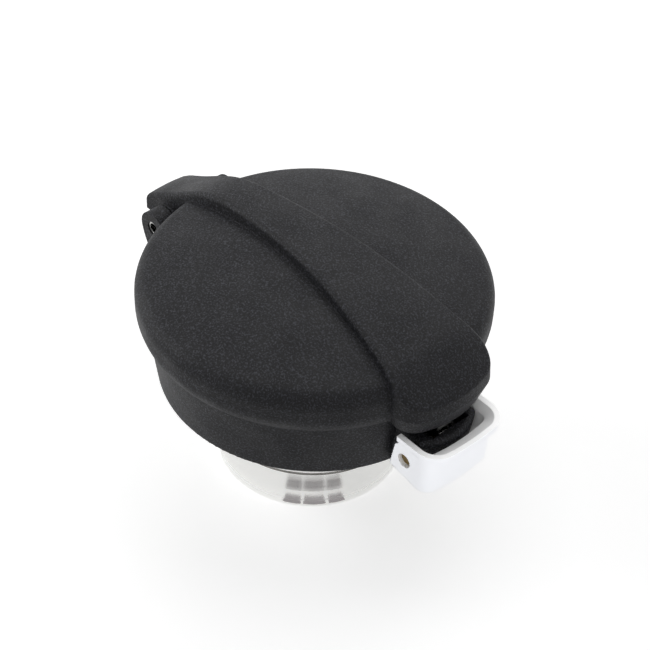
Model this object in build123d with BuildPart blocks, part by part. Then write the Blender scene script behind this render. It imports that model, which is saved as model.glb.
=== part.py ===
from build123d import *
from math import atan2, cos, hypot, radians, sin, sqrt, tan
import os

# Flip-up fuel filler cap: a domed lid with a raised strap, a drum-shaped housing,
# a turned neck below it, and a forked release lever at the front.
# Millimetres. The origin is the centre of the neck's bottom face, +Z goes up the neck
# and +X points from the hinge to the lever.

os.makedirs("parts", exist_ok=True)

# Neck
neck_bore_radius = 21.5
spigot_wall = 3.4
spigot_height = 6.7
spigot_step = 1.5
barrel_groove_height = 13.3
barrel_groove_width = 0.8
barrel_groove_depth = 0.5
neck_flange_width = 6.6
neck_flange_thickness = 3.5
neck_edge_break = 0.5
mouth_wall = 3.4
mouth_relief = 0.6
plug_room = 0.7

# Housing
housing_base_height = 29.2
housing_height = 17.5
housing_wall = 4.4
housing_draft = 2.3
housing_floor = 4.0
housing_recess = 6.0
housing_edge_radius = 0.6
bracket_slant = 12.0
bracket_foot = 3.5
housing_step = 1.2
gasket_thickness = 0.5
mouth_rise = 5.0

# Lid
lid_radius = 45.0
lid_gap = 0.3
lid_skirt_height = 4.7
lid_skirt_inset = 1.4
shoulder_radius = 5.0
shoulder_rise = 2.6
dome_rise = 14.5
lid_wall = 3.2
lid_rim_width = 5.6
cavity_corner_radius = 3.0

# Strap across the lid
strap_rise = 3.7
strap_tail_half_width = 6.8
strap_waist_half_width = 7.2
strap_centre_half_width = 9.0
strap_root_half_width = 13.1
strap_nose_half_width = 15.5
strap_crown_radius = 45.0
strap_draft_angle = 4.0
strap_edge_radius = 1.2
nose_reach = 7.4
nose_front_radius = 31.0
nose_corner_radius = 7.0
nose_underside_angle = 17.0
nose_brow_rise = 9.9
nose_bend_rise = 7.4
nose_tip_rise = 3.4
tail_end_rise = 1.6
tail_bend_rise = 7.4
strap_heel_rise = 8.8
crown_overrun = 1.0
tail_reach = 10.6

# Lid hinge
hinge_offset = 4.7
hinge_drop = 3.6
hinge_barrel_radius = 4.8
hinge_half_width = 12.9
knuckle_half_width = 7.9
hinge_side_gap = 0.3
hinge_pin_radius = 2.0
hinge_pin_wall = 0.55
hinge_pin_slot = 0.8
hinge_pin_slot_angle = -45.0
hinge_pin_recess = 0.3
hinge_clearance = 0.03
bush_wall = 0.9
spring_slot_half_width = 3.3
tail_clearance = 0.7
hinge_spring_wire = 0.8
hinge_spring_radius = 3.1
hinge_spring_turns = 4.5
hinge_spring_leg = 5.8
hinge_spring_foot = 6.2
spring_slot_margin = 0.7
coil_pitch_gap = 0.2
wire_sides = 6

# Seal stack under the lid
carrier_lip_wall = 2.2
carrier_thickness = 2.5
carrier_hub_radius = 6.5
carrier_hub_height = 2.7
carrier_travel = 1.5
seal_overlap = 1.3
seal_thickness = 2.5
seal_gap = 0.1
seal_side_gap = 0.1
seal_edge_break = 0.4
carrier_lip_height = 1.5
clamp_edge_break = 0.6
stud_thread_length = 6.0
screw_tip_room = 0.6
clamp_flange_thickness = 1.9
plug_clearance = 0.9
clamp_overlap = 2.1
stud_radius = 3.0
stud_thread_radius = 2.5
stud_head_radius = 5.0
stud_head_height = 2.3
stud_lift = 0.2
stud_clearance = 0.1
boss_radius = 6.0
seal_spring_wire = 1.6
seal_spring_radius = 9.6
seal_spring_turns = 4.0

# Release lever
lever_offset = 0.5
lever_drop = 16.3
lever_lip_drop = 8.2
lever_flare_drop = 11.2
lever_base_drop = 22.3
lever_base_reach = 9.2
lever_flare_reach = 9.6
lever_lip_reach = 12.3
lever_base_half_width = 11.2
lever_flare_half_width = 11.4
lever_lip_half_width = 12.7
lever_wall = 1.8
lever_corner_radius = 3.6
lever_lip_corner_radius = 6.2
lever_lip_width = 1.3
lever_throat_reach = 7.8
lever_throat_drop = 10.6
lever_ear_radius = 1.4
lever_pin_radius = 1.95
lever_pin_recess = 0.9
lever_spring_wire = 0.8
lever_spring_radius = 2.75
lever_spring_turns = 3.1
lever_spring_bridge_height = 6.0
lever_spring_foot = 2.4
lever_ear_wall = 1.5
lever_ear_reach = 4.7
lever_ear_drop = 4.3
lever_ear_rise = 5.2
lever_ear_half_width = 3.3
lever_notch_reach = 0.9
lever_notch_gap = 0.8
lever_lip_height = 1.5
lever_bow = 0.9
lever_pin_chamfer = 0.3

# Housing lug between the lever's ears
lug_half_width = 9.4
lug_top_drop = 9.2
lug_base_drop = 21.6
lug_top_reach = 7.4
lug_base_reach = 5.2
lug_front_radius = 14.0
lug_edge_radius = 1.6
lug_pocket_half_width = 6.2

# Catch
hook_thickness = 3.0
hook_eye_radius = 3.5
hook_stem_width = 2.3
hook_beak_length = 2.0
hook_beak_height = 2.3
catch_gap = 0.25
striker_thickness = 1.8
striker_half_width = 6.6
striker_length = 5.2
pocket_height = 5.8
pocket_side_gap = 0.6
nose_wall = 1.5

# Screws
neck_screw_radius = 2.0
neck_screw_head_radius = 3.5
neck_screw_head_height = 4.0
neck_screw_count = 6
neck_screw_inset = 3.6
clamp_screw_radius = 1.5
clamp_screw_head_radius = 2.8
clamp_screw_count = 3
clamp_screw_inset = 6.0
striker_screw_radius = 1.25
striker_screw_head_radius = 2.3
striker_screw_spacing = 8.0
striker_screw_depth = 7.0
screw_fit = 0.03
socket_depth_share = 0.5

# Heights and places that follow from the sizes above
spigot_radius = neck_bore_radius + spigot_wall
barrel_radius = spigot_radius + spigot_step
collar_radius = neck_bore_radius + mouth_wall
neck_flange_radius = barrel_radius + neck_flange_width
neck_screw_circle_radius = neck_flange_radius - neck_screw_inset
clamp_radius = neck_bore_radius - plug_clearance
seal_inner_radius = clamp_radius - clamp_overlap
seal_outer_radius = collar_radius + seal_overlap
carrier_radius = seal_outer_radius + seal_side_gap + carrier_lip_wall
clamp_screw_circle_radius = seal_inner_radius - clamp_screw_inset
housing_top = housing_base_height + housing_height
floor_bottom = housing_base_height + housing_recess
floor_top = floor_bottom + housing_floor
mouth_top = floor_top + mouth_rise
lid_base = housing_top + lid_gap
lid_widest = lid_base + lid_skirt_height
dome_top = lid_widest + dome_rise
skirt_radius = lid_radius - lid_skirt_inset
housing_top_radius = skirt_radius - housing_step
housing_base_radius = housing_top_radius - housing_draft
cavity_radius = skirt_radius - lid_rim_width
shoulder_centre = lid_radius - shoulder_radius
dome_over_shoulder = dome_rise - shoulder_rise
dome_radius = (shoulder_centre**2 + dome_over_shoulder**2 - shoulder_radius**2) / (
    2 * (dome_over_shoulder - shoulder_radius)
)
dome_centre_height = dome_top - dome_radius
hinge_x = -(lid_radius + hinge_offset)
hinge_z = lid_widest - hinge_drop
lever_x = lid_radius + lever_offset
lever_z = lid_widest - lever_drop
nose_x = lid_radius + nose_reach
tail_x = hinge_x - tail_reach
tail_bottom = hinge_z - hinge_barrel_radius / 2
hinge_wall_x = hinge_x + hinge_barrel_radius + lid_gap
hinge_spring_length = hinge_spring_turns * (hinge_spring_wire + coil_pitch_gap)
striker_top = lid_base + striker_thickness
striker_front = lever_x - hook_stem_width / 2 - hook_beak_length / 3
striker_back = striker_front - striker_length
striker_screw_x = (striker_front + striker_back) / 2
bush_radius = hinge_pin_radius + hinge_clearance + bush_wall
hook_back = lever_x - hook_stem_width / 2 - hook_beak_length
hook_top = striker_top + catch_gap + hook_beak_height
seal_bottom = mouth_top + seal_gap
seal_top = seal_bottom + seal_thickness
carrier_top = seal_top + carrier_thickness
hub_top = carrier_top + carrier_hub_height
boss_bottom = hub_top + carrier_travel + stud_lift
clamp_bottom = seal_bottom - clamp_flange_thickness
stud_head_top = clamp_bottom - stud_lift
plug_seat = stud_head_top - stud_head_height - plug_room


def dome_height(x, lift=0.0):
    """Height of the dome's arc, or of the arc a lift above it, at a distance x from the axis."""
    return dome_centre_height + sqrt((dome_radius + lift) ** 2 - x**2)


def dome_shoulder_point(inset=0.0):
    """Where the dome's arc meets the shoulder's arc, as a radius and a height."""
    rise = lid_widest + shoulder_rise - dome_centre_height
    reach = hypot(shoulder_centre, rise)
    scale = (dome_radius - inset) / reach
    return shoulder_centre * scale, dome_centre_height + rise * scale


# Neck, turned from bar, with a bolted flange that hides inside the housing
# and a mouth bored wider for the plug of the seal
flange_bottom = floor_bottom - gasket_thickness - neck_flange_thickness
with BuildPart() as neck:
    with BuildSketch(Plane.XZ):
        with BuildLine():
            Polyline(
                (neck_bore_radius, 0),
                (spigot_radius, 0),
                (spigot_radius, spigot_height),
                (barrel_radius - neck_edge_break, spigot_height),
                (barrel_radius, spigot_height + neck_edge_break),
                (barrel_radius, barrel_groove_height),
                (barrel_radius - barrel_groove_depth, barrel_groove_height),
                (barrel_radius - barrel_groove_depth, barrel_groove_height + barrel_groove_width),
                (barrel_radius, barrel_groove_height + barrel_groove_width),
                (barrel_radius, flange_bottom),
                (neck_flange_radius, flange_bottom),
                (neck_flange_radius, flange_bottom + neck_flange_thickness),
                (collar_radius, flange_bottom + neck_flange_thickness),
                (collar_radius, mouth_top - neck_edge_break),
                (collar_radius - neck_edge_break, mouth_top),
                (neck_bore_radius + mouth_relief, mouth_top),
                (neck_bore_radius + mouth_relief, plug_seat),
                (neck_bore_radius, plug_seat),
                close=True,
            )
        make_face()
    revolve(axis=Axis.Z)
    with BuildSketch(Plane.XY.offset(flange_bottom)):
        with PolarLocations(neck_screw_circle_radius, neck_screw_count):
            Circle(neck_screw_radius + screw_fit)
    extrude(amount=neck_flange_thickness, mode=Mode.SUBTRACT)

with BuildPart() as neck_gasket:
    with BuildSketch(Plane.XY.offset(floor_bottom - gasket_thickness)):
        Circle(neck_flange_radius)
        Circle(collar_radius + screw_fit, mode=Mode.SUBTRACT)
        with PolarLocations(neck_screw_circle_radius, neck_screw_count):
            Circle(neck_screw_radius + screw_fit, mode=Mode.SUBTRACT)
    extrude(amount=gasket_thickness)

with BuildPart() as neck_screws:
    with BuildSketch(Plane.XY.offset(flange_bottom)):
        with PolarLocations(neck_screw_circle_radius, neck_screw_count):
            Circle(neck_screw_radius)
    extrude(amount=floor_top - flange_bottom)
    with BuildSketch(Plane.XY.offset(floor_top)):
        with PolarLocations(neck_screw_circle_radius, neck_screw_count):
            Circle(neck_screw_head_radius)
    extrude(amount=neck_screw_head_height)
    with BuildSketch(Plane.XY.offset(floor_top + neck_screw_head_height)):
        with PolarLocations(neck_screw_circle_radius, neck_screw_count):
            RegularPolygon(neck_screw_head_radius / 2, 6)
    extrude(amount=-neck_screw_head_height * socket_depth_share, mode=Mode.SUBTRACT)

# Housing: an open drum with a floor, two hinge lugs behind and the lever's lug in front
with BuildPart() as body:
    with BuildSketch(Plane.XZ) as drum:
        with BuildLine():
            Polyline(
                (0, floor_bottom),
                (housing_base_radius - housing_wall, floor_bottom),
                (housing_base_radius - housing_wall, housing_base_height),
                (housing_base_radius, housing_base_height),
                (housing_top_radius, housing_top),
                (0, housing_top),
                close=True,
            )
        make_face()
        fillet(drum.vertices().sort_by(Axis.X)[-2:], housing_edge_radius)
    revolve(axis=Axis.Z)

    # hinge bracket: both lugs in one block, parted by a slot for the strap's tail; its
    # belly leaves the barrel at a slant and curves in to the drum
    belly_x = hinge_x - hinge_barrel_radius * cos(radians(bracket_slant))
    belly_z = hinge_z - hinge_barrel_radius * sin(radians(bracket_slant))
    bracket_inside = -housing_base_radius + housing_wall
    bracket_bottom = housing_base_height + bracket_foot
    with BuildSketch(Plane.XZ):
        with BuildLine():
            belly = TangentArc(
                (belly_x, belly_z),
                (-housing_base_radius, bracket_bottom),
                tangent=(sin(radians(bracket_slant)), -cos(radians(bracket_slant))),
            )
            Polyline(
                belly @ 1,
                (bracket_inside, bracket_bottom),
                (bracket_inside, housing_top),
                (hinge_x, housing_top),
                belly @ 0,
            )
        make_face()
        with Locations((hinge_x, hinge_z)):
            Circle(hinge_barrel_radius)
    extrude(amount=hinge_half_width, both=True)
    slot_half_width = knuckle_half_width + hinge_side_gap
    slot_bottom = hinge_z - tail_reach - tail_clearance
    with BuildSketch(Plane.XZ):
        with BuildLine():
            Polyline(
                (tail_x, slot_bottom),
                (hinge_wall_x, slot_bottom),
                (hinge_wall_x, dome_top),
                (tail_x, dome_top),
                close=True,
            )
        make_face()
    extrude(amount=slot_half_width, both=True, mode=Mode.SUBTRACT)

    # blind hole for the foot of the hinge spring
    with BuildSketch(Plane.YZ.offset(hinge_wall_x)):
        with Locations((-hinge_spring_length / 2, hinge_z - hinge_spring_radius)):
            Circle(hinge_spring_wire / 2 + hinge_clearance)
    extrude(amount=hinge_spring_foot - (hinge_wall_x - hinge_x) + hinge_side_gap, mode=Mode.SUBTRACT)

    # lever lug: a rounded nose that leans back towards its foot
    lug_top = lid_widest - lug_top_drop
    lug_base = lid_widest - lug_base_drop
    for level, reach in ((lug_base, lug_base_reach), (lug_top, lug_top_reach)):
        tip = lid_radius + reach
        side = tip - lug_front_radius + sqrt(lug_front_radius**2 - lug_half_width**2)
        with BuildSketch(Plane.XY.offset(level)):
            with BuildLine():
                ThreePointArc((side, -lug_half_width), (tip, 0), (side, lug_half_width))
                Polyline(
                    (side, lug_half_width),
                    (housing_base_radius - housing_wall, lug_half_width),
                    (housing_base_radius - housing_wall, -lug_half_width),
                    (side, -lug_half_width),
                )
            make_face()
    loft(ruled=True)
    lug_rim = body.edges().filter_by_position(Axis.Z, lug_top, lug_top).sort_by(Axis.X)[-3:]
    fillet(lug_rim, lug_edge_radius)

    # the drum's inside, above the floor
    with BuildSketch(Plane.XY.offset(floor_top)):
        Circle(housing_base_radius - housing_wall)
    extrude(amount=housing_height, mode=Mode.SUBTRACT)
    with BuildSketch(Plane.XY.offset(floor_bottom)):
        Circle(collar_radius + screw_fit)
        with PolarLocations(neck_screw_circle_radius, neck_screw_count):
            Circle(neck_screw_radius + screw_fit)
    extrude(amount=housing_floor, mode=Mode.SUBTRACT)

    # pocket for the hook and its spring, with the bore for the lever's pin
    pocket_back = lever_x - hook_eye_radius - hinge_side_gap
    pocket_front = lever_x + hook_eye_radius + hinge_side_gap
    pocket_bottom = lever_z - hook_eye_radius - hinge_side_gap
    with BuildSketch(Plane.XZ):
        with BuildLine():
            Polyline(
                (pocket_back, pocket_bottom),
                (pocket_front, pocket_bottom),
                (pocket_front, lug_top),
                (pocket_back, lug_top),
                close=True,
            )
        make_face()
    extrude(amount=lug_pocket_half_width, both=True, mode=Mode.SUBTRACT)
    with BuildSketch(Plane.XZ):
        with Locations((lever_x, lever_z)):
            Circle(lever_pin_radius + hinge_clearance)
    extrude(amount=lug_half_width, both=True, mode=Mode.SUBTRACT)
    with BuildSketch(Plane.XZ):
        with Locations((hinge_x, hinge_z)):
            Circle(hinge_pin_radius + hinge_clearance)
    extrude(amount=hinge_half_width, both=True, mode=Mode.SUBTRACT)

# Strap: a plan pulled up with draft, trimmed by a crowned top that follows the dome
nose_side_x = nose_x - nose_front_radius + sqrt(nose_front_radius**2 - strap_nose_half_width**2)
nose_root = (shoulder_centre - shoulder_radius, strap_root_half_width)
with BuildSketch(Plane.XY.offset(lid_widest)) as strap_plan:
    with BuildLine():
        near = Spline(
            (tail_x, -strap_tail_half_width),
            (hinge_x / 2, -strap_waist_half_width),
            (0, -strap_centre_half_width),
            (nose_root[0], -nose_root[1]),
        )
        near_side = Line(near @ 1, (nose_side_x, -strap_nose_half_width))
        front = ThreePointArc(near_side @ 1, (nose_x, 0), (nose_side_x, strap_nose_half_width))
        far_side = Line(front @ 1, nose_root)
        far = Spline(
            far_side @ 1,
            (0, strap_centre_half_width),
            (hinge_x / 2, strap_waist_half_width),
            (tail_x, strap_tail_half_width),
        )
        Line(far @ 1, near @ 0)
    make_face()
    fillet(strap_plan.vertices().sort_by(Axis.X)[-2:], nose_corner_radius)

# the crown's line from tail to nose: it follows the dome, and bends down at both ends
nose_bend_x = (shoulder_centre + nose_x) / 2 + crown_overrun
strap_line = [
    (tail_x - crown_overrun, hinge_z + tail_end_rise),
    (hinge_x - hinge_barrel_radius / 2, hinge_z + tail_bend_rise),
    (crown_overrun - lid_radius, lid_widest + strap_heel_rise),
]
for share in (-0.8, -0.45, 0, 0.45, 0.8):
    strap_line.append((share * lid_radius, dome_height(share * lid_radius, strap_rise)))
strap_line += [
    (lid_radius - crown_overrun, lid_widest + nose_brow_rise),
    (nose_bend_x, lid_widest + nose_bend_rise),
    (nose_x, lid_widest + nose_tip_rise),
    (nose_x + 2 * crown_overrun, lid_widest),
]
crown_half_width = 1.5 * strap_nose_half_width
crown_fall = strap_crown_radius - sqrt(strap_crown_radius**2 - crown_half_width**2)
with BuildPart() as strap_crown:
    for x, height in strap_line:
        with BuildSketch(Plane.YZ.offset(x)):
            with BuildLine():
                ThreePointArc(
                    (-crown_half_width, height - crown_fall),
                    (0, height),
                    (crown_half_width, height - crown_fall),
                )
                Polyline(
                    (crown_half_width, height - crown_fall),
                    (crown_half_width, housing_base_height),
                    (-crown_half_width, housing_base_height),
                    (-crown_half_width, height - crown_fall),
                )
            make_face()
    loft()

with BuildSketch(Plane.XY.offset(lid_widest)) as tail_plan:
    add(strap_plan.sketch)
    split(bisect_by=Plane.YZ.offset(-cavity_radius), keep=Keep.BOTTOM)

with BuildSketch(Plane.XY.offset(lid_widest)) as heel_plan:
    add(tail_plan.sketch)
    split(bisect_by=Plane.YZ.offset(hinge_x), keep=Keep.BOTTOM)

with BuildPart() as strap:
    extrude(strap_plan.sketch, amount=dome_rise + 2 * strap_rise, taper=strap_draft_angle)
    extrude(tail_plan.sketch, amount=-lid_skirt_height)
    extrude(heel_plan.sketch, amount=tail_bottom - lid_widest)
    add(strap_crown.part, mode=Mode.INTERSECT)
    strap_top = strap.faces().sort_by(Axis.Z)[-1]
    fillet(strap_top.edges(), strap_edge_radius)

# the nose's lower half leans back in to the parting line
nose_lean = lid_skirt_height * tan(radians(nose_underside_angle))
with BuildPart() as nose_under:
    for level, inset in ((lid_widest, 0), (lid_base, nose_lean)):
        side_y = strap_nose_half_width - inset
        with BuildSketch(Plane.XY.offset(level)) as nose_plan:
            with BuildLine():
                Polyline(
                    (nose_side_x - inset, -side_y),
                    (nose_root[0], inset - nose_root[1]),
                    (nose_root[0], nose_root[1] - inset),
                    (nose_side_x - inset, side_y),
                )
                ThreePointArc(
                    (nose_side_x - inset, side_y), (nose_x - inset, 0), (nose_side_x - inset, -side_y)
                )
            make_face()
            fillet(nose_plan.vertices().sort_by(Axis.X)[-2:], nose_corner_radius - inset)
    loft(ruled=True)

# Lid: turned dome and skirt, with the strap, its tail and the hinge knuckle cast on
with BuildPart() as lid:
    shoulder_x, shoulder_z = dome_shoulder_point()
    with BuildSketch(Plane.XZ):
        with BuildLine():
            Line((0, lid_base), (skirt_radius, lid_base))
            skirt = Line((skirt_radius, lid_base), (skirt_radius, lid_base + lid_gap))
            side = TangentArc(
                (lid_radius, lid_widest), (skirt @ 1), tangent=(0, -1), tangent_from_first=True
            )
            wall = Line((lid_radius, lid_widest), (lid_radius, lid_widest + shoulder_rise))
            TangentArc(wall @ 1, (shoulder_x, shoulder_z), tangent=(0, 1))
            ThreePointArc(
                (shoulder_x, shoulder_z),
                (shoulder_x / 2, dome_height(shoulder_x / 2)),
                (0, dome_top),
            )
            Line((0, dome_top), (0, lid_base))
        make_face()
    revolve(axis=Axis.Z)
    add(strap.part)
    add(nose_under.part)
    with BuildSketch(Plane.XZ):
        with Locations((hinge_x, hinge_z)):
            Circle(hinge_barrel_radius)
    extrude(amount=knuckle_half_width, both=True)

    # hollow underside
    inner_edge = dome_height(cavity_radius, -lid_wall)
    with BuildSketch(Plane.XZ) as cavity:
        with BuildLine():
            Polyline((0, lid_base), (cavity_radius, lid_base), (cavity_radius, inner_edge))
            ThreePointArc(
                (cavity_radius, inner_edge),
                (cavity_radius / 2, dome_height(cavity_radius / 2, -lid_wall)),
                (0, dome_top - lid_wall),
            )
            Line((0, dome_top - lid_wall), (0, lid_base))
        make_face()
        fillet(cavity.vertices().sort_by_distance((cavity_radius, inner_edge))[0], cavity_corner_radius)
    revolve(axis=Axis.Z, mode=Mode.SUBTRACT)

    # boss for the seal's guide stud
    with BuildSketch(Plane.XY.offset(boss_bottom)):
        Circle(boss_radius)
    extrude(amount=dome_top - lid_wall / 2 - boss_bottom)
    with BuildSketch(Plane.XY.offset(boss_bottom)):
        Circle(stud_thread_radius + screw_fit)
    extrude(amount=stud_thread_length + screw_tip_room, mode=Mode.SUBTRACT)

    # bore for the bushes, and the slot for the spring between them
    with BuildSketch(Plane.XZ):
        with Locations((hinge_x, hinge_z)):
            Circle(bush_radius + screw_fit)
    extrude(amount=knuckle_half_width, both=True, mode=Mode.SUBTRACT)
    slot_ceiling = hinge_z + hinge_spring_radius + hinge_spring_wire / 2 + screw_fit
    slot_back = hinge_x - hinge_barrel_radius - spring_slot_margin
    slot_front = hinge_x + hinge_spring_leg + spring_slot_margin
    with BuildSketch(Plane.XZ):
        with BuildLine():
            Polyline(
                (slot_back, slot_bottom),
                (slot_front, slot_bottom),
                (slot_front, slot_ceiling),
                (slot_back, slot_ceiling),
                close=True,
            )
        make_face()
    extrude(amount=spring_slot_half_width, both=True, mode=Mode.SUBTRACT)

    # catch pocket in the nose, with a seat for the striker plate below it
    with BuildSketch(Plane.XZ):
        with BuildLine():
            Polyline(
                (striker_front, lid_base),
                (nose_x - nose_wall - lid_skirt_inset, lid_base),
                (nose_x - nose_wall, lid_base + pocket_height),
                (hook_back - pocket_side_gap, lid_base + pocket_height),
                (hook_back - pocket_side_gap, striker_top),
                (striker_front, striker_top),
                close=True,
            )
        make_face()
    extrude(amount=hook_thickness / 2 + pocket_side_gap, both=True, mode=Mode.SUBTRACT)
    with BuildSketch(Plane.XY.offset(lid_base)):
        with Locations(((striker_front + striker_back) / 2, 0)):
            Rectangle(striker_length, 2 * striker_half_width)
    extrude(amount=striker_thickness, mode=Mode.SUBTRACT)
    with BuildSketch(Plane.XY.offset(lid_base)):
        with Locations((striker_screw_x, 0)):
            with GridLocations(1, striker_screw_spacing, 1, 2):
                Circle(striker_screw_radius + screw_fit)
    extrude(amount=striker_screw_depth + screw_tip_room, mode=Mode.SUBTRACT)

with BuildPart() as striker_plate:
    with BuildSketch(Plane.XY.offset(lid_base)):
        with Locations(((striker_front + striker_back) / 2, 0)):
            Rectangle(striker_length, 2 * striker_half_width)
    extrude(amount=striker_thickness)
    with Locations(Plane((striker_screw_x, 0, lid_base), z_dir=(0, 0, -1))):
        with GridLocations(1, striker_screw_spacing, 1, 2):
            CounterSinkHole(striker_screw_radius + screw_fit, striker_screw_head_radius + screw_fit)

with BuildPart() as striker_screws:
    with BuildSketch(Plane.XY.offset(lid_base)):
        with Locations((striker_screw_x, 0)):
            with GridLocations(1, striker_screw_spacing, 1, 2):
                Circle(striker_screw_radius)
    extrude(amount=striker_screw_depth)
    with Locations((striker_screw_x, 0, lid_base)):
        with GridLocations(1, striker_screw_spacing, 1, 2):
            Cone(
                striker_screw_head_radius,
                striker_screw_radius,
                striker_screw_head_radius - striker_screw_radius,
                align=(Align.CENTER, Align.CENTER, Align.MIN),
            )

# Seal stack
with BuildPart() as guide_stud:
    with BuildSketch(Plane.XY.offset(stud_head_top - stud_head_height)):
        Circle(stud_head_radius)
    extrude(amount=stud_head_height)
    with BuildSketch(Plane.XY.offset(stud_head_top)):
        Circle(stud_radius)
    extrude(amount=boss_bottom - stud_head_top)
    with BuildSketch(Plane.XY.offset(boss_bottom)):
        Circle(stud_thread_radius)
    extrude(amount=stud_thread_length)
    with BuildSketch(Plane.XY.offset(stud_head_top - stud_head_height)):
        RegularPolygon(stud_head_radius / 2, 6)
    extrude(amount=stud_head_height * socket_depth_share, mode=Mode.SUBTRACT)

hub_bore_radius = stud_radius + stud_clearance
with BuildPart() as seal_carrier:
    with BuildSketch(Plane.XZ):
        with BuildLine():
            Polyline(
                (hub_bore_radius, seal_top),
                (seal_outer_radius + seal_side_gap, seal_top),
                (seal_outer_radius + seal_side_gap, seal_top - carrier_lip_height),
                (carrier_radius, seal_top - carrier_lip_height),
                (carrier_radius, carrier_top),
                (carrier_hub_radius, carrier_top),
                (carrier_hub_radius, hub_top),
                (hub_bore_radius, hub_top),
                close=True,
            )
        make_face()
    revolve(axis=Axis.Z)
    with BuildSketch(Plane.XY.offset(seal_top)):
        with PolarLocations(clamp_screw_circle_radius, clamp_screw_count):
            Circle(clamp_screw_radius + screw_fit)
    extrude(amount=carrier_thickness, mode=Mode.SUBTRACT)

with BuildPart() as lid_seal:
    with BuildSketch(Plane.XY.offset(seal_bottom)):
        Circle(seal_outer_radius)
        Circle(seal_inner_radius, mode=Mode.SUBTRACT)
    extrude(amount=seal_thickness)
    chamfer(lid_seal.edges().group_by(Axis.Z)[0], seal_edge_break)

with BuildPart() as clamp_plate:
    with BuildSketch(Plane.XY.offset(clamp_bottom)):
        Circle(clamp_radius)
    extrude(amount=clamp_flange_thickness)
    chamfer(clamp_plate.edges().group_by(Axis.Z)[0], clamp_edge_break)
    with BuildSketch(Plane.XY.offset(seal_bottom)):
        Circle(seal_inner_radius - seal_side_gap)
    extrude(amount=seal_thickness)
    with BuildSketch(Plane.XY.offset(clamp_bottom)):
        Circle(hub_bore_radius)
    extrude(amount=clamp_flange_thickness + seal_thickness, mode=Mode.SUBTRACT)
    with Locations(Plane((0, 0, clamp_bottom), z_dir=(0, 0, -1))):
        with PolarLocations(clamp_screw_circle_radius, clamp_screw_count, start_angle=180):
            CounterSinkHole(clamp_screw_radius + screw_fit, clamp_screw_head_radius + screw_fit)

with BuildPart() as clamp_screws:
    with BuildSketch(Plane.XY.offset(clamp_bottom)):
        with PolarLocations(clamp_screw_circle_radius, clamp_screw_count):
            Circle(clamp_screw_radius)
    extrude(amount=carrier_top - clamp_bottom)
    with Locations((0, 0, clamp_bottom)):
        with PolarLocations(clamp_screw_circle_radius, clamp_screw_count):
            Cone(
                clamp_screw_head_radius,
                clamp_screw_radius,
                clamp_screw_head_radius - clamp_screw_radius,
                align=(Align.CENTER, Align.CENTER, Align.MIN),
            )

spring_low = carrier_top + seal_spring_wire / 2
spring_high = dome_height(seal_spring_radius + seal_spring_wire / 2, -lid_wall) - seal_spring_wire
spring_rise = spring_high - spring_low
with BuildPart() as seal_spring:
    with BuildLine(Plane.XY.offset(spring_low)) as spring_path:
        Helix(spring_rise / seal_spring_turns, spring_rise, seal_spring_radius)
    with BuildSketch(Plane(spring_path.line @ 0, z_dir=spring_path.line % 0)):
        RegularPolygon(seal_spring_wire / 2, wire_sides)
    sweep(is_frenet=True)

# Hinge pin: a rolled spring pin, open along one side
with BuildPart() as hinge_pin:
    with BuildSketch(Plane.XZ):
        with Locations((hinge_x, hinge_z)):
            Circle(hinge_pin_radius)
            Circle(hinge_pin_radius - hinge_pin_wall, mode=Mode.SUBTRACT)
        with Locations((hinge_x + hinge_pin_radius, hinge_z - hinge_pin_radius)):
            Rectangle(
                2 * hinge_pin_radius,
                hinge_pin_slot,
                rotation=hinge_pin_slot_angle,
                mode=Mode.SUBTRACT,
            )
    extrude(amount=hinge_half_width - hinge_pin_recess, both=True)

with BuildPart() as hinge_bush_left:
    with BuildSketch(Plane.XZ.offset(-knuckle_half_width)):
        with Locations((hinge_x, hinge_z)):
            Circle(bush_radius)
            Circle(hinge_pin_radius + hinge_clearance, mode=Mode.SUBTRACT)
    extrude(amount=knuckle_half_width - spring_slot_half_width)

with BuildPart() as hinge_bush_right:
    add(hinge_bush_left.part.mirror(Plane.XZ))


def wound_spring(turns, coil_radius, wire, start_leg, end_leg):
    """Torsion spring about its own Z axis: starts on +X, with a straight leg at each end."""
    pitch = wire + coil_pitch_gap
    with BuildPart() as coil:
        with BuildLine() as path:
            Helix(pitch, pitch * turns, coil_radius)
        helix = path.line
        with BuildSketch(Plane(helix @ 0, z_dir=helix % 0)):
            RegularPolygon(wire / 2, wire_sides)
        sweep(path=helix, is_frenet=True)
        with BuildSketch(Plane((coil_radius, 0, 0), z_dir=(0, 1, 0))):
            RegularPolygon(wire / 2, wire_sides)
        extrude(amount=-start_leg)
        end = helix @ 1
        with BuildSketch(Plane(end, z_dir=(-end.Y, end.X, 0))):
            RegularPolygon(wire / 2, wire_sides)
        extrude(amount=end_leg)
    return coil.part


# the foot sits in a blind hole in the housing's wall, the leg lifts the lid
hinge_coil = wound_spring(
    hinge_spring_turns, hinge_spring_radius, hinge_spring_wire, hinge_spring_foot, hinge_spring_leg
)
with BuildPart() as hinge_spring:
    with Locations(
        Plane((hinge_x, -hinge_spring_length / 2, hinge_z), x_dir=(0, 0, -1), z_dir=(0, 1, 0))
    ):
        add(hinge_coil)

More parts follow.
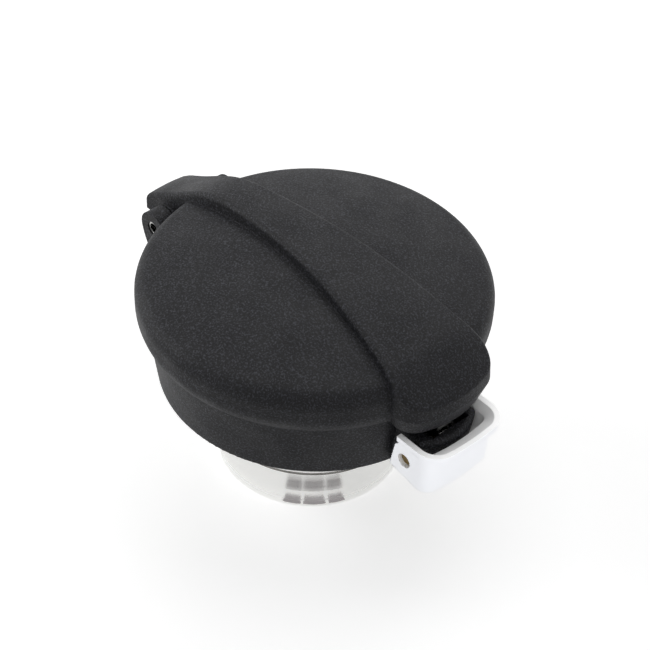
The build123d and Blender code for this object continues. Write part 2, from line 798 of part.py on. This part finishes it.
# Release lever: a fork whose walls lean outwards and flare into a thumb lip
lever_levels = (
    (lever_base_drop, lever_base_reach, lever_base_half_width, lever_corner_radius),
    (lever_flare_drop, lever_flare_reach, lever_flare_half_width, lever_corner_radius),
    (lever_lip_drop + lever_lip_height, lever_lip_reach, lever_lip_half_width, lever_lip_corner_radius),
    (lever_lip_drop, lever_lip_reach, lever_lip_half_width, lever_lip_corner_radius),
)
fork_corner = lever_corner_radius - lever_ear_wall
lip_corner = lever_lip_corner_radius - lever_lip_width
hollow_levels = (
    (lever_base_drop, lever_base_reach - lever_wall, lever_base_half_width, fork_corner),
    (lever_throat_drop, lever_throat_reach, lever_flare_half_width, fork_corner),
    (lever_lip_drop, lever_lip_reach - lever_lip_width, lever_lip_half_width, lip_corner),
)
lever_back_x = lever_x - lever_ear_reach


def fork_plan(tip, half_width, corner):
    """Plan of the fork at one level: square behind, bowed and rounded in front."""
    shoulder = tip - lever_bow
    with BuildSketch() as plan:
        with BuildLine():
            ThreePointArc((shoulder, -half_width), (tip, 0), (shoulder, half_width))
            Polyline(
                (shoulder, half_width),
                (lever_back_x - lever_wall, half_width),
                (lever_back_x - lever_wall, -half_width),
                (shoulder, -half_width),
            )
        make_face()
        fillet(plan.vertices().sort_by(Axis.X)[-2:], corner)
    return plan.sketch


with BuildPart() as fork_hollow:
    for drop, reach, half_width, corner in hollow_levels:
        with BuildSketch(Plane.XY.offset(lid_widest - drop)):
            add(fork_plan(lid_radius + reach, half_width - lever_ear_wall, corner))
    loft(ruled=True)

with BuildPart() as lever:
    for drop, reach, half_width, corner in lever_levels:
        with BuildSketch(Plane.XY.offset(lid_widest - drop)):
            add(fork_plan(lid_radius + reach, half_width, corner))
    loft(ruled=True)
    add(fork_hollow.part, mode=Mode.SUBTRACT)
    # side view: ears with rounded tops, notched under the lip's ends
    ear_top = lever_z + lever_ear_rise
    with BuildSketch(Plane.XZ) as side_view:
        with BuildLine():
            Polyline(
                (lever_back_x, lever_z - lever_ear_drop),
                (lever_x - lever_ear_half_width, ear_top - lever_ear_half_width / 2),
                (lever_x - lever_ear_half_width / 2, ear_top),
                (lever_x + lever_notch_reach, ear_top + lever_notch_gap),
                (lever_x - lever_ear_half_width / 2, lid_widest - lever_lip_drop - lever_lip_height),
                (lever_x - lever_ear_half_width / 2, lid_widest - lever_lip_drop),
                (lid_radius + lever_lip_reach, lid_widest - lever_lip_drop),
                (lid_radius + lever_lip_reach, lid_widest - lever_base_drop),
                (lever_x + lever_base_reach / 2, lid_widest - lever_base_drop),
                close=True,
            )
        make_face()
        ear_corner = (lever_x - lever_ear_half_width, ear_top)
        fillet(side_view.vertices().sort_by_distance(ear_corner)[:2], lever_ear_radius)
    extrude(amount=lever_lip_half_width, both=True, mode=Mode.INTERSECT)
    with BuildSketch(Plane.XZ):
        with Locations((lever_x, lever_z)):
            Circle(lever_pin_radius + screw_fit)
    extrude(amount=lever_lip_half_width, both=True, mode=Mode.SUBTRACT)

with BuildPart() as lever_pin:
    with BuildSketch(Plane.XZ):
        with Locations((lever_x, lever_z)):
            Circle(lever_pin_radius)
    extrude(amount=lever_base_half_width - lever_pin_recess, both=True)
    chamfer(lever_pin.edges(), lever_pin_chamfer)

with BuildPart() as latch_hook:
    with BuildSketch(Plane.XZ):
        with Locations((lever_x, lever_z)):
            Circle(hook_eye_radius)
        with BuildLine():
            Polyline(
                (lever_x - hook_stem_width / 2, lever_z),
                (lever_x + hook_stem_width / 2, lever_z),
                (lever_x + hook_stem_width / 2, hook_top - hook_beak_height / 2),
                (lever_x, hook_top),
                (hook_back + hook_beak_length / 2, hook_top),
                (hook_back, hook_top - hook_beak_height / 2),
                (hook_back, hook_top - hook_beak_height),
                (lever_x - hook_stem_width / 2, hook_top - hook_beak_height),
                close=True,
            )
        make_face()
        with Locations((lever_x, lever_z)):
            Circle(lever_pin_radius + screw_fit, mode=Mode.SUBTRACT)
    extrude(amount=hook_thickness / 2, both=True)

# double torsion spring: a coil each side of the hook, and a bridge that leans on its stem
bridge_x = hook_stem_width / 2 + lever_spring_wire / 2 + catch_gap / 2
bridge_leg = sqrt(bridge_x**2 + lever_spring_bridge_height**2 - lever_spring_radius**2)
coil_start = atan2(lever_spring_bridge_height, bridge_x) - atan2(bridge_leg, lever_spring_radius)
coil_y = hook_thickness / 2 + coil_pitch_gap + lever_spring_wire / 2
lever_coil = wound_spring(
    lever_spring_turns, lever_spring_radius, lever_spring_wire, bridge_leg, lever_spring_foot
)
with BuildPart() as lever_spring:
    with Locations(
        Plane(
            (lever_x, coil_y, lever_z),
            x_dir=(cos(coil_start), 0, sin(coil_start)),
            z_dir=(0, 1, 0),
        )
    ):
        add(lever_coil)
    mirror(about=Plane.XZ)
    with BuildSketch(Plane.XZ):
        with Locations((lever_x + bridge_x, lever_z + lever_spring_bridge_height)):
            RegularPolygon(lever_spring_wire / 2, wire_sides)
    extrude(amount=coil_y, both=True)

body.part.label = "body"
export_step(body.part, "parts/body.step")
neck.part.label = "neck"
export_step(neck.part, "parts/neck.step")
neck_gasket.part.label = "neck_gasket"
export_step(neck_gasket.part, "parts/neck_gasket.step")
neck_screws.part.label = "neck_screws"
export_step(neck_screws.part, "parts/neck_screws.step")
hinge_pin.part.label = "hinge_pin"
export_step(hinge_pin.part, "parts/hinge_pin.step")
hinge_bush_left.part.label = "hinge_bush_left"
export_step(hinge_bush_left.part, "parts/hinge_bush_left.step")
hinge_bush_right.part.label = "hinge_bush_right"
export_step(hinge_bush_right.part, "parts/hinge_bush_right.step")
hinge_spring.part.label = "hinge_spring"
export_step(hinge_spring.part, "parts/hinge_spring.step")
lid.part.label = "lid"
export_step(lid.part, "parts/lid.step")
striker_plate.part.label = "striker_plate"
export_step(striker_plate.part, "parts/striker_plate.step")
striker_screws.part.label = "striker_screws"
export_step(striker_screws.part, "parts/striker_screws.step")
guide_stud.part.label = "guide_stud"
export_step(guide_stud.part, "parts/guide_stud.step")
seal_spring.part.label = "seal_spring"
export_step(seal_spring.part, "parts/seal_spring.step")
seal_carrier.part.label = "seal_carrier"
export_step(seal_carrier.part, "parts/seal_carrier.step")
lid_seal.part.label = "lid_seal"
export_step(lid_seal.part, "parts/lid_seal.step")
clamp_plate.part.label = "clamp_plate"
export_step(clamp_plate.part, "parts/clamp_plate.step")
clamp_screws.part.label = "clamp_screws"
export_step(clamp_screws.part, "parts/clamp_screws.step")
lever.part.label = "lever"
export_step(lever.part, "parts/lever.step")
lever_pin.part.label = "lever_pin"
export_step(lever_pin.part, "parts/lever_pin.step")
latch_hook.part.label = "latch_hook"
export_step(latch_hook.part, "parts/latch_hook.step")
lever_spring.part.label = "lever_spring"
export_step(lever_spring.part, "parts/lever_spring.step")
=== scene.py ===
from math import cos, radians, sin

import bpy
from mathutils import Matrix, Vector

# Flip-up fuel filler cap on a white studio table.
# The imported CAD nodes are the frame; metres, +Z up, +X from the hinge to the lever.

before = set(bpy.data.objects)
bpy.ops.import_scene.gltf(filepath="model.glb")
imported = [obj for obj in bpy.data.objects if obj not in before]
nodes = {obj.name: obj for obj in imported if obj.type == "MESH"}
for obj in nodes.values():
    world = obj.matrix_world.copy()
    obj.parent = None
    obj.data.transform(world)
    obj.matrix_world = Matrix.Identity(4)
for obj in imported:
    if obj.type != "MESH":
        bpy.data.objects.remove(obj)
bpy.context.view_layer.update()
mm = 0.001


def hexColour(text):
    # sRGB hex to the linear colour that shaders take
    channels = [int(text[i:i + 2], 16) / 255 for i in (1, 3, 5)]
    linear = [c / 12.92 if c <= 0.04045 else ((c + 0.055) / 1.055) ** 2.4 for c in channels]
    return (*linear, 1)


def addNode(tree, kind, settings=None, inputs=None, links=None):
    # one node: its settings, the values of its sockets, and what is linked into them
    node = tree.nodes.new(kind)
    for name, value in (settings or {}).items():
        setattr(node, name, value)
    for name, value in (inputs or {}).items():
        node.inputs[name].default_value = value
    for name, source in (links or {}).items():
        tree.links.new(source, node.inputs[name])
    return node


def startMaterial(name):
    material = bpy.data.materials.new(name)
    material.use_nodes = True
    tree = material.node_tree
    tree.nodes.clear()
    return material, tree


def objectPlace(tree):
    # where a point lies on the cap, in metres, as the patterns read it
    return addNode(tree, "ShaderNodeTexCoord").outputs["Object"]


def finishMaterial(tree, shader):
    output = addNode(tree, "ShaderNodeOutputMaterial")
    tree.links.new(shader.outputs[0], output.inputs["Surface"])


def setRamp(node, stops):
    # stops in rising order: position and sRGB hex
    ramp = node.color_ramp
    for position, colour in stops[2:]:
        ramp.elements.new(position)
    for element, (position, colour) in zip(ramp.elements, sorted(stops)):
        element.position = position
        element.color = hexColour(colour)


def noise(tree, place, size, detail, roughness=0.55):
    # noise whose features are about one size across, in metres
    return addNode(tree, "ShaderNodeTexNoise", None,
                   {"Scale": 1 / size, "Detail": detail, "Roughness": roughness}, {"Vector": place})


def spread(tree, source, low, high):
    # a noise's middle range spread from low to high
    node = addNode(tree, "ShaderNodeMapRange", None,
                   {"From Min": 0.3, "From Max": 0.7, "To Min": low, "To Max": high},
                   {"Value": source})
    return node.outputs["Result"]


def softEdge(tree, radius):
    # normals rounded over the sharp edges, as a coat or a polish leaves them
    node = addNode(tree, "ShaderNodeBevel", {"samples": 6}, {"Radius": radius})
    return node.outputs["Normal"]


print("materials")

powderCoat = {
    "film": "#131316",
    "grainHighlight": "#4c4d53",
    "grainPitShade": "#040405",
    "grain": 0.45 * mm,  # size of the raised grains of a fine-textured coat
    "grainHeight": 0.07 * mm,
    "bump": 0.6,
    "cloud": 9 * mm,  # size of the faint patches where the film lies thicker
    "cloudFade": 0.2,
    "edge": 0.35 * mm,  # how far the film rounds an edge
    "roughness": (0.5, 0.63),
    "gloss": 0.22,
}


def makePowderCoat():
    # fine-textured polyester powder coat, sprayed and baked: soft black, with tiny raised grains;
    # the grey specks on the grain tops are painted highlight and the dark specks between them
    # painted shade
    material, tree = startMaterial("fineTexturedPowderCoat")
    place = objectPlace(tree)
    grain = noise(tree, place, powderCoat["grain"], 2.0)
    cells = addNode(tree, "ShaderNodeTexVoronoi", {"feature": "F1"},
                    {"Scale": 0.8 / powderCoat["grain"]}, {"Vector": place})
    cloud = noise(tree, place, powderCoat["cloud"], 3.0, 0.5)
    # painted highlight and shade: the grain noise that raises the bump also turns the colour
    # lighter on the tops and darker in the pits
    speck = addNode(tree, "ShaderNodeValToRGB", None, None, {"Fac": grain.outputs["Fac"]})
    setRamp(speck, [(0.34, powderCoat["grainPitShade"]), (0.5, powderCoat["film"]),
                    (0.7, powderCoat["grainHighlight"])])
    patch = addNode(tree, "ShaderNodeMixRGB", {"blend_type": "MULTIPLY"},
                    {"Fac": powderCoat["cloudFade"]},
                    {"Color1": speck.outputs["Color"], "Color2": cloud.outputs["Fac"]})
    rough = spread(tree, cloud.outputs["Fac"], *powderCoat["roughness"])
    height = addNode(tree, "ShaderNodeMath", {"operation": "SUBTRACT"}, None,
                     {0: grain.outputs["Fac"], 1: cells.outputs["Distance"]})
    bump = addNode(tree, "ShaderNodeBump", None,
                   {"Strength": powderCoat["bump"], "Distance": powderCoat["grainHeight"]},
                   {"Height": height.outputs[0], "Normal": softEdge(tree, powderCoat["edge"])})
    shader = addNode(tree, "ShaderNodeBsdfPrincipled", None,
                     {"IOR": 1.5, "Specular IOR Level": powderCoat["gloss"]},
                     {"Base Color": patch.outputs["Color"], "Roughness": rough,
                      "Normal": bump.outputs["Normal"]})
    finishMaterial(tree, shader)
    return material


turnedAluminium = {
    "bright": "#f3f3f1",
    "dull": "#dcdcda",
    "toolPitch": 0.35 * mm,  # feed of the lathe tool, drawn coarse enough to show
    "lineDepth": 0.004 * mm,
    "bump": 0.35,
    "bands": 2.4 * mm,  # width of the broader bands in gloss
    "edge": 0.15 * mm,
    "roughness": (0.16, 0.32),
    "corner": "#8e8c8a",
    # painted shade, darker where shade falls, as the middle and half of a height: the spigot's
    # shoulder and the barrel's groove
    "corners": ((6.75 * mm, 0.3 * mm), (13.7 * mm, 0.4 * mm)),
}


def makeTurnedAluminium():
    # aluminium bar turned on a lathe: bright, with fine rings that run round the axis
    material, tree = startMaterial("turnedAluminium")
    split = addNode(tree, "ShaderNodeSeparateXYZ", None, None, {"Vector": objectPlace(tree)})
    flat = addNode(tree, "ShaderNodeCombineXYZ", None, {"Z": 0.0},
                   {"X": split.outputs["X"], "Y": split.outputs["Y"]})
    reach = addNode(tree, "ShaderNodeVectorMath", {"operation": "LENGTH"}, None,
                    {0: flat.outputs["Vector"]})
    along = addNode(tree, "ShaderNodeMath", {"operation": "ADD"}, None,
                    {0: reach.outputs["Value"], 1: split.outputs["Z"]})
    ring = addNode(tree, "ShaderNodeCombineXYZ", None, {"Y": 0.0, "Z": 0.0},
                   {"X": along.outputs[0]})
    lines = noise(tree, ring.outputs["Vector"], turnedAluminium["toolPitch"], 2.0, 0.6)
    bands = noise(tree, ring.outputs["Vector"], turnedAluminium["bands"], 2.0, 0.5)
    tone = addNode(tree, "ShaderNodeMixRGB", None,
                   {"Color1": hexColour(turnedAluminium["dull"]),
                    "Color2": hexColour(turnedAluminium["bright"])},
                   {"Fac": lines.outputs["Fac"]})
    # painted shade: the tone turns darker in two height bands, at the shoulder and in the groove
    for middle, half in turnedAluminium["corners"]:
        inShadeBand = addNode(tree, "ShaderNodeMath", {"operation": "COMPARE"}, {1: middle, 2: half},
                         {0: split.outputs["Z"]})
        tone = addNode(tree, "ShaderNodeMixRGB", None,
                       {"Color2": hexColour(turnedAluminium["corner"])},
                       {"Fac": inShadeBand.outputs[0], "Color1": tone.outputs["Color"]})
    rough = spread(tree, bands.outputs["Fac"], *turnedAluminium["roughness"])
    bump = addNode(tree, "ShaderNodeBump", None,
                   {"Strength": turnedAluminium["bump"], "Distance": turnedAluminium["lineDepth"]},
                   {"Height": lines.outputs["Fac"],
                    "Normal": softEdge(tree, turnedAluminium["edge"])})
    shader = addNode(tree, "ShaderNodeBsdfPrincipled", None, {"Metallic": 1.0},
                     {"Base Color": tone.outputs["Color"], "Roughness": rough,
                      "Normal": bump.outputs["Normal"]})
    finishMaterial(tree, shader)
    return material


metalCloud = 4 * mm  # size of the faint patches on pins, screws, wire and plates


def makeMetal(name, look):
    # plain metal with a faint cloud in colour and gloss, and a fine surface grain
    material, tree = startMaterial(name)
    place = objectPlace(tree)
    cloud = noise(tree, place, metalCloud, 4.0)
    grain = noise(tree, place, look["grain"], 2.0, 0.5)
    tone = addNode(tree, "ShaderNodeMixRGB", None,
                   {"Color1": hexColour(look["dark"]), "Color2": hexColour(look["light"])},
                   {"Fac": cloud.outputs["Fac"]})
    rough = spread(tree, cloud.outputs["Fac"], look["roughness"] * 0.8, look["roughness"] * 1.25)
    bump = addNode(tree, "ShaderNodeBump", None, {"Strength": 0.3, "Distance": look["relief"]},
                   {"Height": grain.outputs["Fac"], "Normal": softEdge(tree, look["edge"])})
    shader = addNode(tree, "ShaderNodeBsdfPrincipled", None, {"Metallic": 1.0},
                     {"Base Color": tone.outputs["Color"], "Roughness": rough,
                      "Normal": bump.outputs["Normal"]})
    finishMaterial(tree, shader)
    return material


chromePlate = {
    "bright": "#f4f5f9",
    "cloud": "#eceef2",
    "satin": "#fafafa",
    "middle": (48.5 * mm, 0, 30 * mm),  # a point inside the fork, to tell its hollow side
    "roughness": 0.07,
    "hollowRoughness": 0.85,
    "haze": 0.04,
    "cloudSize": 4 * mm,
    "rim": 2.0 * mm,  # the lip's top edge counts as hollow too
    "edge": 0.3 * mm,
}


def makeChromePlate():
    # bright decorative plate: nearly a mirror outside, and satin in the fork's hollow
    # and along its lip, where the buffing wheel doesn't reach
    material, tree = startMaterial("decorativeChromePlate")
    place = objectPlace(tree)
    cloud = noise(tree, place, chromePlate["cloudSize"], 3.0)
    shape = addNode(tree, "ShaderNodeNewGeometry")
    away = addNode(tree, "ShaderNodeVectorMath", {"operation": "SUBTRACT"},
                   {1: chromePlate["middle"]}, {0: place})
    flat = addNode(tree, "ShaderNodeVectorMath", {"operation": "MULTIPLY"}, {1: (1, 1, 0)},
                   {0: away.outputs["Vector"]})
    side = addNode(tree, "ShaderNodeVectorMath", {"operation": "DOT_PRODUCT"}, None,
                   {0: flat.outputs["Vector"], 1: shape.outputs["True Normal"]})
    hollow = addNode(tree, "ShaderNodeMath", {"operation": "LESS_THAN"},
                     {1: chromePlate["rim"]}, {0: side.outputs["Value"]})
    tone = addNode(tree, "ShaderNodeMixRGB", None,
                   {"Color1": hexColour(chromePlate["cloud"]),
                    "Color2": hexColour(chromePlate["bright"])},
                   {"Fac": cloud.outputs["Fac"]})
    colour = addNode(tree, "ShaderNodeMixRGB", None, {"Color2": hexColour(chromePlate["satin"])},
                     {"Fac": hollow.outputs[0], "Color1": tone.outputs["Color"]})
    rough = addNode(tree, "ShaderNodeMapRange", None,
                    {"To Min": chromePlate["roughness"], "To Max": chromePlate["hollowRoughness"]},
                    {"Value": hollow.outputs[0]})
    haze = addNode(tree, "ShaderNodeMath", {"operation": "MULTIPLY_ADD"},
                   {1: chromePlate["haze"]},
                   {0: cloud.outputs["Fac"], 2: rough.outputs["Result"]})
    shader = addNode(tree, "ShaderNodeBsdfPrincipled", None, {"Metallic": 1.0},
                     {"Base Color": colour.outputs["Color"], "Roughness": haze.outputs[0],
                      "Normal": softEdge(tree, chromePlate["edge"])})
    finishMaterial(tree, shader)
    return material


metals = {
    # pins and plates finished on a grinder
    "groundSteel": {"light": "#c4c4c2", "dark": "#a8a8a6", "roughness": 0.22,
                    "grain": 0.2 * mm, "relief": 0.003 * mm, "edge": 0.1 * mm},
    # screws: the plating dulls the steel and turns it faintly blue
    "zincPlatedSteel": {"light": "#b4b7ba", "dark": "#9a9da1", "roughness": 0.32,
                        "grain": 0.25 * mm, "relief": 0.004 * mm, "edge": 0.1 * mm},
    # wire keeps the drag lines of the die as a dull grain
    "drawnSpringWire": {"light": "#8f8f8e", "dark": "#767675", "roughness": 0.34,
                        "grain": 0.2 * mm, "relief": 0.004 * mm, "edge": 0.05 * mm},
    # oil-soaked bushes look brown and matt
    "sinteredBronze": {"light": "#b08a4c", "dark": "#8d6b38", "roughness": 0.4,
                       "grain": 0.2 * mm, "relief": 0.006 * mm, "edge": 0.05 * mm},
    # the cut end of the lever's pin, tarnished to brown
    "cutBrass": {"light": "#8a7449", "dark": "#4f4227", "roughness": 0.35,
                 "grain": 0.5 * mm, "relief": 0.01 * mm, "edge": 0.05 * mm},
}

sealRubberLook = {
    "black": "#18181a",
    "bloom": "#2a2a2b",
    "bloomSize": 6 * mm,
    "grain": 0.3 * mm,
    "relief": 0.02 * mm,
    "roughness": 0.55,
}


def makeSealRubber():
    # moulded fluoro rubber: satin black with a slight grey bloom
    material, tree = startMaterial("sealRubber")
    place = objectPlace(tree)
    bloom = noise(tree, place, sealRubberLook["bloomSize"], 4.0, 0.6)
    tone = addNode(tree, "ShaderNodeMixRGB", None,
                   {"Color1": hexColour(sealRubberLook["black"]),
                    "Color2": hexColour(sealRubberLook["bloom"])},
                   {"Fac": bloom.outputs["Fac"]})
    grain = noise(tree, place, sealRubberLook["grain"], 2.0, 0.5)
    bump = addNode(tree, "ShaderNodeBump", None,
                   {"Strength": 0.3, "Distance": sealRubberLook["relief"]},
                   {"Height": grain.outputs["Fac"]})
    shader = addNode(tree, "ShaderNodeBsdfPrincipled", None,
                     {"Roughness": sealRubberLook["roughness"], "IOR": 1.5},
                     {"Base Color": tone.outputs["Color"], "Normal": bump.outputs["Normal"]})
    finishMaterial(tree, shader)
    return material


finishes = {name: makeMetal(name, look) for name, look in metals.items()}
finishes["decorativeChromePlate"] = makeChromePlate()
finishes["powderCoat"] = makePowderCoat()
finishes["turnedAluminium"] = makeTurnedAluminium()
finishes["sealRubber"] = makeSealRubber()

dressed = {
    "body": "powderCoat",
    "lid": "powderCoat",
    "neck": "turnedAluminium",
    "seal_carrier": "turnedAluminium",
    "clamp_plate": "turnedAluminium",
    "lever": "decorativeChromePlate",
    "lever_pin": "cutBrass",
    "hinge_pin": "groundSteel",
    "guide_stud": "groundSteel",
    "striker_plate": "groundSteel",
    "latch_hook": "groundSteel",
    "neck_screws": "zincPlatedSteel",
    "clamp_screws": "zincPlatedSteel",
    "striker_screws": "zincPlatedSteel",
    "hinge_spring": "drawnSpringWire",
    "seal_spring": "drawnSpringWire",
    "lever_spring": "drawnSpringWire",
    "hinge_bush_left": "sinteredBronze",
    "hinge_bush_right": "sinteredBronze",
    "neck_gasket": "sealRubber",
    "lid_seal": "sealRubber",
}
for name, finish in dressed.items():
    piece = nodes[name]
    piece.data.materials.clear()
    piece.data.materials.append(finishes[finish])

print("studio")

table = {"colour": "#f4f4f4", "roughness": 0.8, "glow": 0.6, "size": 3.0}


def rayMask(tree, kinds):
    # 1 for rays of these kinds, otherwise 0
    path = addNode(tree, "ShaderNodeLightPath")
    mask = path.outputs[kinds[0]]
    for kind in kinds[1:]:
        both = addNode(tree, "ShaderNodeMath", {"operation": "MAXIMUM"}, None,
                       {0: mask, 1: path.outputs[kind]})
        mask = both.outputs[0]
    return mask


def makeTable():
    # white table that keeps the object's soft shadow and glows a little, so it renders white
    bpy.ops.object.select_all(action="DESELECT")
    bpy.ops.mesh.primitive_plane_add(size=table["size"], location=(0, 0, 0))
    top = bpy.context.object
    top.name = "studioTable"
    material, tree = startMaterial("whiteTable")
    mask = rayMask(tree, ["Is Camera Ray", "Is Glossy Ray", "Is Transmission Ray"])
    glow = addNode(tree, "ShaderNodeMath", {"operation": "MULTIPLY"}, {1: table["glow"]}, {0: mask})
    shader = addNode(tree, "ShaderNodeBsdfPrincipled", None,
                     {"Base Color": hexColour(table["colour"]), "Roughness": table["roughness"],
                      "Emission Color": (1, 1, 1, 1), "Specular IOR Level": 0.0},
                     {"Emission Strength": glow.outputs[0]})
    finishMaterial(tree, shader)
    top.data.materials.append(material)


makeTable()

flags = {
    "lift": 0.3 * mm,  # above the table
    "angles": {"Left": -52.5, "Middle": -38.5, "Right": -24.5},
    # one row shows in the spigot and one in the barrel
    "rows": {
        "spigotFlag": {"reach": 26.6 * mm, "length": 3.0 * mm, "tone": "#a09c9e",
                       "widths": (5.0 * mm, 6.2 * mm, 4.6 * mm)},
        "barrelFlag": {"reach": 35.0 * mm, "length": 4.2 * mm, "tone": "#757072",
                       "widths": (6.8 * mm, 8.9 * mm, 6.6 * mm)},
    },
}


def makeFlags():
    # grey cards on the table before the neck, seen only as blocks in its bright metal
    for row, look in flags["rows"].items():
        material, tree = startMaterial("greyCard")
        shade = addNode(tree, "ShaderNodeEmission", None, {"Color": hexColour(look["tone"])})
        finishMaterial(tree, shade)
        for (side, angle), width in zip(flags["angles"].items(), look["widths"]):
            turned = radians(angle)
            bpy.ops.object.select_all(action="DESELECT")
            bpy.ops.mesh.primitive_plane_add(
                size=1, rotation=(0, 0, turned),
                location=(look["reach"] * cos(turned), look["reach"] * sin(turned), flags["lift"]))
            card = bpy.context.object
            card.name = row + side
            card.scale = (look["length"], width, 1)
            bpy.ops.object.transform_apply(location=True, rotation=True, scale=True)
            card.data.materials.append(material)
            card.visible_camera = False
            card.visible_diffuse = False
            card.visible_shadow = False


makeFlags()

room = {"fill": 0.14, "backdrop": 1.0}
world = bpy.data.worlds.new("studio")
bpy.context.scene.world = world
world.use_nodes = True
sky = world.node_tree
sky.nodes.clear()
skyOutput = addNode(sky, "ShaderNodeOutputWorld")
skyFill = addNode(sky, "ShaderNodeBackground", None,
                  {"Color": (1, 1, 1, 1), "Strength": room["fill"]})
skyWhite = addNode(sky, "ShaderNodeBackground", None,
                   {"Color": (1, 1, 1, 1), "Strength": room["backdrop"]})
skyMix = addNode(sky, "ShaderNodeMixShader", None, None,
                 {"Fac": rayMask(sky, ["Is Camera Ray", "Is Glossy Ray", "Is Transmission Ray"])})
sky.links.new(skyFill.outputs[0], skyMix.inputs[1])
sky.links.new(skyWhite.outputs[0], skyMix.inputs[2])
sky.links.new(skyMix.outputs[0], skyOutput.inputs["Surface"])

softboxes = {
    "overheadSoftbox": {"place": (-0.25, 0.35, 0.85), "aim": (0, 0, 0.03),
                        "size": 0.9, "power": 3.6},
    "leftSoftbox": {"place": (-0.6, -0.45, 0.4), "aim": (0, 0, 0.04), "size": 0.5, "power": 2.3},
    "rightSoftbox": {"place": (0.7, 0.1, 0.35), "aim": (0, 0, 0.04), "size": 0.5, "power": 0.1},
}
for name, softbox in softboxes.items():
    lamp = bpy.data.lights.new(name, "AREA")
    lamp.shape = "SQUARE"
    lamp.size = softbox["size"]
    lamp.energy = softbox["power"]
    holder = bpy.data.objects.new(name, lamp)
    bpy.context.scene.collection.objects.link(holder)
    holder.location = softbox["place"]
    aim = Vector(softbox["aim"]) - Vector(softbox["place"])
    holder.rotation_euler = aim.to_track_quat("-Z", "Y").to_euler()

print("camera")

shot = {
    "azimuth": 47.0,
    "elevation": 41.44,
    "roll": 2.05,
    "distance": 0.4398,
    "target": (0, 0, 0.0517),
    "lens": 97.06,
    "sensor": 36,
    "shift": (0.0160, -0.0486),
    "nearest": 0.01,
}
turn, rise, roll = (radians(shot[key]) for key in ("azimuth", "elevation", "roll"))
back = Vector((sin(turn) * cos(rise), -cos(turn) * cos(rise), sin(rise)))
level = Vector((cos(turn), sin(turn), 0))
upward = back.cross(level)
right = level * cos(roll) + upward * sin(roll)
up = upward * cos(roll) - level * sin(roll)
eye = Vector(shot["target"]) + back * shot["distance"]
cameraData = bpy.data.cameras.new("productCamera")
cameraData.lens = shot["lens"]
cameraData.sensor_width = shot["sensor"]
cameraData.clip_start = shot["nearest"]
cameraData.shift_x, cameraData.shift_y = shot["shift"]
camera = bpy.data.objects.new("productCamera", cameraData)
bpy.context.scene.collection.objects.link(camera)
facing = Matrix((right, up, back)).transposed()
camera.matrix_world = Matrix.Translation(eye) @ facing.to_4x4()
bpy.context.scene.camera = camera
bpy.context.scene.view_settings.view_transform = "Standard"

print("done")
